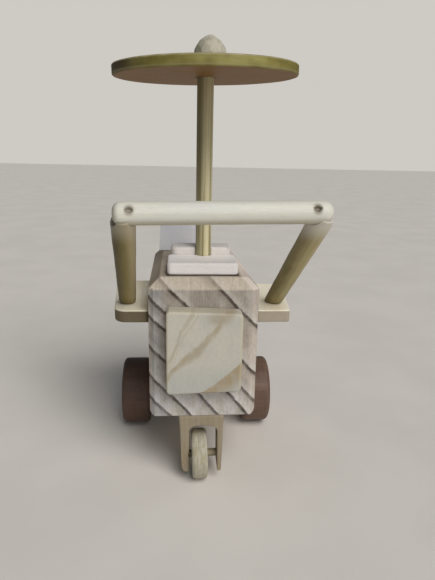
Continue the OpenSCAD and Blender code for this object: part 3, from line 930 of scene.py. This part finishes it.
def disc():
    edge = 0.6
    hole = MAST_R + 0.08
    low = [(r, 0) for r in steps(hole, DISC_R - edge, 16)][:-1]
    rim = arc(DISC_R - edge, edge, edge, -90, 0, 3)
    rim += [(DISC_R, z) for z in steps(edge, DISC_T - edge, 4)[1:-1]]
    rim += arc(DISC_R - edge, DISC_T - edge, edge, 0, 90, 3)
    high = [(r, DISC_T) for r in steps(DISC_R - edge, hole, 16)][1:]
    bm = lathed(low + rim + high, 160, ring=True)
    for v in bm.verts:
        r = math.hypot(v.co.x, v.co.y)
        a = math.atan2(v.co.y, v.co.x)
        if r > DISC_R - 2:
            dent = uneven((math.cos(a) * 3, math.sin(a) * 3, 5))
            fine = uneven((math.cos(a) * 16, math.sin(a) * 16, v.co.z * 0.7))
            pull = 1 - (0.22 * dent + 0.12 * fine) / r
            v.co.x *= pull
            v.co.y *= pull
        v.co.z += 0.10 * uneven(v.co * 0.06, (2, 8, 1)) * (1 if v.co.z < DISC_T / 2 else -1)
    moved(bm, Matrix.Translation((MAST.x, MAST.y, DISC_Z)) @ TILT)

    def faces(t, colour, height):
        spot = t.place()
        x, y, z = t.axes(spot)
        out = t.vector("DISTANCE", t.stretched(spot, 1.0, 1.0, 0.0), (MAST.x, MAST.y, 0.0))
        # level is the height above the disc's own underside
        tilt = t.plus(t.times(t.minus(x, MAST.x), math.tan(ROLL_OVER)),
                      t.times(t.minus(y, MAST.y), math.tan(DIP)))
        level = t.minus(t.minus(z, tilt), DISC_Z)
        rim = t.spread(out, DISC_R - 0.95, DISC_R - 0.45)
        mottle = t.noise(spot, 0.10, 0.10, 0.12, 3)
        rim_tone = t.mix(t.spread(mottle, 0.36, 0.64), tone(116, 108, 50), tone(150, 141, 82))
        ply = t.noise(spot, 0.10, 0.10, 1.2, 7)
        rim_tone = t.shade(rim_tone, t.spread(ply, 0.35, 0.65, 0.92, 1.07, smooth=False))
        # the rim turns dark brown towards its left end
        dark_left_end = t.spread(x, MAST.x - 16, MAST.x - 30, 0.0, 0.9)
        rim_tone = t.mix(dark_left_end, rim_tone, tone(60, 44, 24))
        rim_tone = t.mix(t.spread(x, MAST.x + 18, MAST.x + 28, 0.0, 0.6), rim_tone, tone(116, 104, 44))
        arris = t.times(t.spread(level, 0.25, 0.5), t.spread(level, 0.75, 1.1, 1.0, 0.0))
        rim_tone = t.mix(t.times(arris, 0.45), rim_tone, tone(150, 140, 98))
        colour = t.mix(rim, colour, rim_tone)
        above = t.spread(level, DISC_T - 0.75, DISC_T - 0.3, 0.0, 0.85)
        fine = t.noise(spot, 0.03, 0.9, 0.9, 11, 3.0, 0.6)
        year = t.noise(spot, 0.012, 0.16, 0.16, 17, 1.0)
        figure = t.plus(t.times(fine, 0.45), t.times(year, 0.55))
        top_tone = t.mix(t.spread(figure, 0.4, 0.6), tone(186, 177, 148), tone(148, 136, 100))
        return t.mix(above, colour, top_tone), t.plus(height, t.times(figure, 0.4))

    made = wood("parasol wood", tone(124, 86, 28), tone(100, 66, 20), (10, 60, DISC_Z - 30), (1, 0.05, 0),
                3.2, ring=0.35, fibre=0.08, patch=0.4, patch_tone=tone(112, 78, 22), wobble=1.2, rough=0.55,
                bump=0.4, seed=33, extra=faces)
    return piece("parasol", bm, made, "chassis", "disc_wood", "parasol_disc")


def knob():
    """A dome whittled with a knife: flat cuts round five rows and a small top."""
    radius, height, shift = 5.9, 10.0, 1.7
    bm = block((-radius, -radius, 0), (radius, radius, height))
    # rows of cuts: slope, distance out, height, number
    rows = ((3, 1.0, 0.20, 11), (16, 0.96, 0.45, 10), (34, 0.85, 0.64, 9), (52, 0.64, 0.82, 8),
            (70, 0.36, 0.95, 6))
    draw = 0
    for lift, out, up, count in rows:
        for i in range(count):
            draw += 1
            jitter = noise.noise(Vector((draw * 1.37, 4.2, 0.5)))
            a = 2 * math.pi * (i + 0.5 * jitter + 0.37 * lift) / count
            e = math.radians(lift + 6 * noise.noise(Vector((draw * 0.91, 8.8, 2.5))))
            face = Vector((math.cos(a) * math.cos(e), math.sin(a) * math.cos(e), math.sin(e)))
            spot = Vector((math.cos(a) * out * radius, math.sin(a) * out * radius, up * height))
            planed(bm, spot - face * 0.10 * (1 + jitter), face)
    bmesh.ops.remove_doubles(bm, verts=bm.verts[:], dist=0.02)
    bmesh.ops.recalc_face_normals(bm, faces=bm.faces[:])
    softened(bm, 0.3, 2, lambda e: min(v.co.z for v in e.verts) > 0.01, angle=6)
    sliced(bm, 0.8)
    worn(bm, 0.12, 2.5, 40)
    moved(bm, Matrix.Translation((MAST.x, MAST.y, DISC_Z)) @ TILT @ Matrix.Translation((shift, 0, DISC_T)))

    def sides(t, colour, height):
        spot = t.place()
        # painted shade: the knob's left side darker and cooler
        left_painted_shade = t.spread(t.axes(spot)[0], MAST.x + 1.5, MAST.x - 4, 0.0, 0.7)
        colour = t.mix(left_painted_shade, colour, tone(132, 134, 112))
        blotch = t.noise(spot, 0.5, 0.5, 0.35, 5, 3.0, 0.6)
        return t.mix(t.spread(blotch, 0.5, 0.66, 0.0, 0.4), colour, tone(128, 124, 104)), height

    made = wood("knob wood", tone(192, 185, 167), tone(166, 156, 131), (3, 30, DISC_Z), (0.2, 0.1, 1),
                1.6, ring=0.3, fibre=0.08, patch=0.25, patch_tone=tone(168, 162, 146), wobble=0.4,
                rough=0.65, bump=0.5, seed=36, extra=sides)
    return piece("carved_knob", bm, made, "chassis", "knob_wood", "parasol_knob")


mast()
disc()
knob()

# ----
# Fork, front wheel and its pin
f_lo, f_hi = span("front_fork")
front_joint = JOINTS["front_wheel_spin"]
SPIN = Vector(front_joint["axis"]).normalized()


def joint_place(joint):
    """A joint's position on the cart's own axes."""
    return (Vector(joint["pos_m"] if "pos_m" in joint else joint["pos"]) - HOME) / MM


FRONT_HUB = joint_place(front_joint)
FRONT_R, FRONT_W = 9.7, 6.1
PIN_R = 1.5
SLOT_LEFT, SLOT_RIGHT, SLOT_TOP = -5.0, 5.7, 24.8


def fork():
    """A block sawn into two tapering legs, with an arched slot and a notch inside the left leg."""
    arch = [
        (SLOT_LEFT, SLOT_TOP - 2.0), (SLOT_LEFT + 0.8, SLOT_TOP - 0.8), (SLOT_LEFT + 2.2, SLOT_TOP - 0.1),
        (0.3, SLOT_TOP + 0.25), (SLOT_RIGHT - 2.2, SLOT_TOP - 0.2), (SLOT_RIGHT - 0.7, SLOT_TOP - 0.9),
        (SLOT_RIGHT, SLOT_TOP - 2.2),
    ]
    left_leg = [(-7.9, 7.0), (-7.4, 5.2), (-6.6, f_lo.z), (-5.3, f_lo.z), (SLOT_LEFT, 5.1)]
    notch = [(SLOT_LEFT, 10.6), (SLOT_LEFT - 0.35, 12.0), (SLOT_LEFT, 13.2)]
    right_leg = [(SLOT_RIGHT + 0.3, 5.0), (SLOT_RIGHT + 0.5, f_lo.z), (7.2, f_lo.z), (7.6, 5.4)]
    outline = [(f_lo.x, f_hi.z)] + left_leg + notch + arch + right_leg + [(f_hi.x, f_hi.z)]
    bm = extruded(outline, f_lo.y, f_hi.y, "Y")
    softened(bm, 0.35, 3, lambda e: max(v.co.z for v in e.verts) < f_hi.z - 0.1, angle=40)
    sliced(bm, 1.05)
    worn(bm, 0.10, 4.0, 44)
    made = wood("fork wood", tone(152, 140, 118), tone(126, 112, 88), (-20, 0, 10), (0.02, 0.1, 1), 2.2,
                ring=0.3, fibre=0.07, patch=0.4, patch_tone=tone(142, 122, 96), wobble=0.4, rough=0.62,
                bump=0.45, seed=44)
    bore = drill(PIN_R + GLUE, -14, 14, facing(SPIN, FRONT_HUB), 60)
    return piece("slotted_fork", bm, made, "chassis", "fork_wood", "front_fork", drills=[bore])


def front_wheel():
    bm = lathed(wheel_profile(FRONT_R, FRONT_W, PIN_R + RUN, 1.5), 96, ring=True)
    dented_tread(bm, PIN_R + 1, 0.10, 2.5, 0.25)
    moved(bm, facing(SPIN, FRONT_HUB) @ Matrix.Translation((0, 0, -FRONT_W / 2)))

    def treads(t, colour, height):
        here = t.place(tuple(FRONT_HUB), tuple(SPIN))
        streak = t.noise(here, 0.12, 0.12, 1.7, 4, 3.0, 0.6)
        colour = t.shade(colour, t.spread(streak, 0.32, 0.68, 0.70, 1.16, smooth=False))
        olive = t.spread(t.noise(here, 0.3, 0.3, 0.5, 9, 2.0), 0.5, 0.66, 0.0, 0.5)
        colour = t.mix(olive, colour, tone(150, 140, 96))
        return colour, t.plus(height, t.times(streak, 0.5))

    made = wood("front wheel wood", tone(190, 185, 168), tone(152, 145, 124), tuple(FRONT_HUB), tuple(SPIN),
                1.4, ring=0.5, fibre=0.08, patch=0.2, patch_tone=tone(190, 176, 140), wobble=0.3, rough=0.6,
                bump=0.5, seed=47, extra=treads)
    return piece("fore_wheel", bm, made, "front_wheel", "front_wheel_wood", "front_wheel")


def front_pin():
    p_lo, p_hi = span("front_pin")
    overhang = PIN_R * abs(SPIN.z)
    start = (p_lo.x - FRONT_HUB.x + overhang) / SPIN.x
    end = (p_hi.x - FRONT_HUB.x - overhang) / SPIN.x
    bm = lathed(rod_profile(end - start, PIN_R, 0.3, 3, 1.0), 48)
    moved(bm, facing(SPIN, FRONT_HUB + SPIN * start))
    pith = tuple(FRONT_HUB + Vector((0, 2, 1)))
    made = wood("pin wood", tone(150, 138, 112), tone(112, 98, 72), pith, tuple(SPIN), 0.8, ring=0.6,
                fibre=0.14, patch=0.2, rough=0.5, bump=0.3, seed=50)
    return piece("wheel_pin", bm, made, "chassis", "pin_wood", "front_pin")


fork()
front_wheel()
front_pin()

# ----
# Rear wheels, axle and the block that carries it
a_lo, a_hi = span("rear_axle")
AXLE = Vector((0, (a_lo.y + a_hi.y) / 2, (a_lo.z + a_hi.z) / 2))
AXLE_R = (a_hi.z - a_lo.z) / 2


def rear_wheel_wood(name, seed, centre_x):
    def ends(t, colour, height):
        here = t.place((centre_x, AXLE.y, AXLE.z), (1, 0, 0))
        x, y, _ = t.axes(here)
        out = t.math("SQRT", t.plus(t.times(x, x), t.times(y, y)))
        worn_rim = t.spread(out, 13.6, 15.0, 0.0, 0.3)
        colour = t.mix(worn_rim, colour, tone(104, 82, 68))
        turned = t.noise(here, 0.25, 0.25, 3.2, seed, 2.0, 0.5)
        return t.shade(colour, t.spread(turned, 0.3, 0.7, 0.85, 1.12, smooth=False)), height

    # painted light and shade: the right wheel gets a lighter copy of the wood, the left one a darker copy
    painted_lit_wheel = centre_x > 0
    base = tone(114, 90, 76) if painted_lit_wheel else tone(88, 66, 57)
    dark = tone(78, 58, 49) if painted_lit_wheel else tone(60, 44, 38)
    return wood(name, base, dark, (centre_x, AXLE.y + 1.5, AXLE.z - 1.0), (1, 0.02, 0.01), 1.7,
                ring=0.75, fibre=0.2, patch=0.35, patch_tone=dark, wobble=0.5, rough=0.55, bump=0.5,
                seed=seed, extra=ends)


def rear_wheel(name, node, seed):
    lo, hi = span(node)
    width, radius = hi.x - lo.x, (hi.z - lo.z) / 2
    bm = lathed(wheel_profile(radius, width, AXLE_R + GLUE, 2.0), 128, ring=True)
    dented_tread(bm, AXLE_R + 1, 0.12, 2.2, 0.12, seed)
    moved(bm, facing((1, 0, 0), (lo.x, AXLE.y, AXLE.z)))
    made = rear_wheel_wood(name + " wood", seed, (lo.x + hi.x) / 2)
    return piece(name, bm, made, "rear_wheelset", "rear_wheel_wood", node)


def rear_axle():
    bm = lathed(rod_profile(a_hi.x - a_lo.x, AXLE_R, 0.35, 3, 2.0), 72)
    moved(bm, facing((1, 0, 0), (a_lo.x, AXLE.y, AXLE.z)))
    pith = (0, AXLE.y - 4, AXLE.z + 3)
    made = wood("axle wood", tone(170, 140, 108), tone(122, 92, 66), pith, (1, 0, 0), 1.4, ring=0.6,
                fibre=0.16, patch=0.3, rough=0.55, bump=0.4, seed=55)
    return piece("axle_rod", bm, made, "rear_wheelset", "axle_wood", "rear_axle")


def axle_block():
    lo, hi = span("rear_axle_block")
    bm = block(lo, hi)
    softened(bm, 0.6, 3, lambda e: max(v.co.z for v in e.verts) < hi.z - 0.1)
    sliced(bm, 1.6)
    worn(bm, 0.12, 6.0, 58)
    bore = drill(AXLE_R + RUN, lo.x - 3, hi.x + 3, facing((1, 0, 0), (0, AXLE.y, AXLE.z)), 72)
    made = wood("axle block wood", tone(188, 168, 128), tone(150, 126, 86), (5, 20, -20), (1, 0.03, 0.02),
                2.4, ring=0.5, fibre=0.14, patch=0.3, patch_tone=tone(156, 136, 98), rough=0.65, bump=0.5,
                seed=58)
    return piece("axle_carrier", bm, made, "chassis", "fork_wood", "rear_axle_block", drills=[bore])


rear_wheel("left_hind_wheel", "left_rear_wheel", 60)
rear_wheel("right_hind_wheel", "right_rear_wheel", 64)
rear_axle()
axle_block()


# ----
# CAD nodes that stay: dowels, pegs and nails inside the joints
def steel():
    t = Tree("nail steel", 0.42, 0.5)
    t.skin.inputs["Metallic"].default_value = 0.85
    spot = t.place()
    speck = t.noise(spot, 1.8, 1.8, 1.8, 2, 4.0, 0.6)
    colour = t.mix(t.spread(speck, 0.45, 0.62), tone(112, 106, 96), tone(74, 62, 50))
    return t.finish(colour, speck, 0.3, 0.05, t.spread(speck, 0.4, 0.65, 0.35, 0.7))


dowel_wood = wood("dowel wood", tone(214, 190, 148), tone(172, 140, 96), (30, 30, 10), (0.3, 0.2, 1), 1.3,
                  ring=0.5, fibre=0.12, patch=0.2, rough=0.6, bump=0.3, seed=70)
nail_steel = steel()
for name, node in frame["nodes"].items():
    if not node.hide_render:
        for held in node.material_slots:
            held.material = nail_steel if "nails" in name else dowel_wood

# ----
# Floor, light and camera
def floor():
    bm = bmesh.new()
    bmesh.ops.create_grid(bm, x_segments=40, y_segments=40, size=3.0)
    mesh = bpy.data.meshes.new("studio_floor")
    bm.to_mesh(mesh)
    bm.free()
    ob = bpy.data.objects.new("studio_floor", mesh)
    bpy.context.scene.collection.objects.link(ob)
    t = Tree("studio floor", 0.8, 0.2)
    spot = t.place()
    grain = t.noise(spot, 0.02, 0.02, 0.02, 0, 3.0)
    colour = t.mix(t.spread(grain, 0.3, 0.7), tone(222, 216, 208), tone(228, 222, 214))
    ob.data.materials.append(t.finish(colour, grain, 0.05, 0.1))


def soft_sun(name, side, lift, width, power, shade):
    """A wide even light from the front: side degrees to the right of it, lift degrees up."""
    lamp = bpy.data.lights.new(name, "SUN")
    lamp.energy = power
    lamp.angle = math.radians(width)
    lamp.color = shade
    ob = bpy.data.objects.new(name, lamp)
    bpy.context.scene.collection.objects.link(ob)
    a, e = math.radians(side), math.radians(lift)
    source = Vector((math.sin(a) * math.cos(e), -math.cos(a) * math.cos(e), math.sin(e)))
    ob.rotation_euler = source.to_track_quat("Z", "Y").to_euler()


floor()
soft_sun("key_light", 27, 50, 34, 1.9, (1.0, 0.985, 0.965))
soft_sun("fill_light", 24, 14, 56, 0.85, (0.98, 0.99, 1.0))

world = bpy.data.worlds.new("studio")
bpy.context.scene.world = world
world.use_nodes = True
# the room seen by the camera is pale, while the light that it gives stays low
seen, given = (world.node_tree.nodes.new("ShaderNodeBackground") for _ in range(2))
seen.inputs["Color"].default_value = tone(206, 202, 196)
seen.inputs["Strength"].default_value = 1.0
given.inputs["Color"].default_value = (0.86, 0.93, 1.0, 1.0)
given.inputs["Strength"].default_value = 0.15
ray = world.node_tree.nodes.new("ShaderNodeLightPath")
either = world.node_tree.nodes.new("ShaderNodeMixShader")
world.node_tree.links.new(ray.outputs["Is Camera Ray"], either.inputs[0])
world.node_tree.links.new(given.outputs[0], either.inputs[1])
world.node_tree.links.new(seen.outputs[0], either.inputs[2])
world.node_tree.links.new(either.outputs[0], world.node_tree.nodes["World Output"].inputs["Surface"])

EYE = at(-9.02, -169.28, 127.68)
DOWN, TURN, ROLL = math.radians(16.06), math.radians(4.61), math.radians(-1.30)
ahead = Vector((math.sin(TURN) * math.cos(DOWN), math.cos(TURN) * math.cos(DOWN), -math.sin(DOWN)))
right = Vector((math.cos(TURN), -math.sin(TURN), 0))
above = right.cross(ahead)
camera_x = right * math.cos(ROLL) - above * math.sin(ROLL)
camera_y = right * math.sin(ROLL) + above * math.cos(ROLL)
camera = bpy.data.objects.new("camera", bpy.data.cameras.new("camera"))
bpy.context.scene.collection.objects.link(camera)
camera.data.sensor_width = 36.0
camera.data.lens = 31.06
camera.data.clip_start = 0.01
camera.matrix_world = Matrix.Translation(EYE) @ Matrix((camera_x, camera_y, -ahead)).transposed().to_4x4()
bpy.context.scene.camera = camera
bpy.context.scene.view_settings.view_transform = "Standard"
